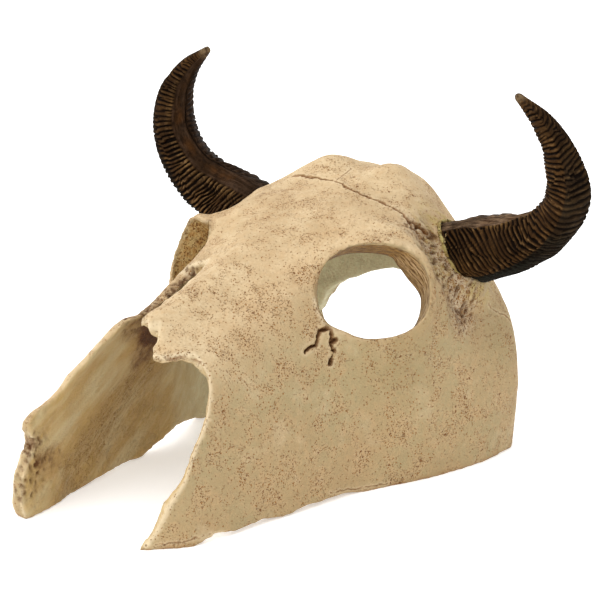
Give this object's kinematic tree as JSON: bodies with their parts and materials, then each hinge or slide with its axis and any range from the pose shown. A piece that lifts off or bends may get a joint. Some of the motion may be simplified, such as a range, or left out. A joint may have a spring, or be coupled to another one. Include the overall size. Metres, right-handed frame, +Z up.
{
  "type": "resin bull skull ornament",
  "caption": "Hollow cast bull skull ornament with broken nose, open eye sockets, rear doorway and curved horns, a hide that stands on its bottom edge.",
  "frame": {"origin": "on the floor below the middle of the whole ornament's bounding box", "axes": "+Z up, the snout points along -Y, the animal's left side is +X"},
  "size_m": [0.2042, 0.183, 0.1417],
  "materials": {
    "bone_resin": "matt painted cast resin, tan with brown washed pores",
    "horn_resin": "satin painted cast resin, dark brown with lighter ridges"
  },
  "bodies": {
    "root": {"skull_shell": "bone_resin", "horn_left": "horn_resin", "horn_right": "horn_resin"}
  },
  "joints": []
}
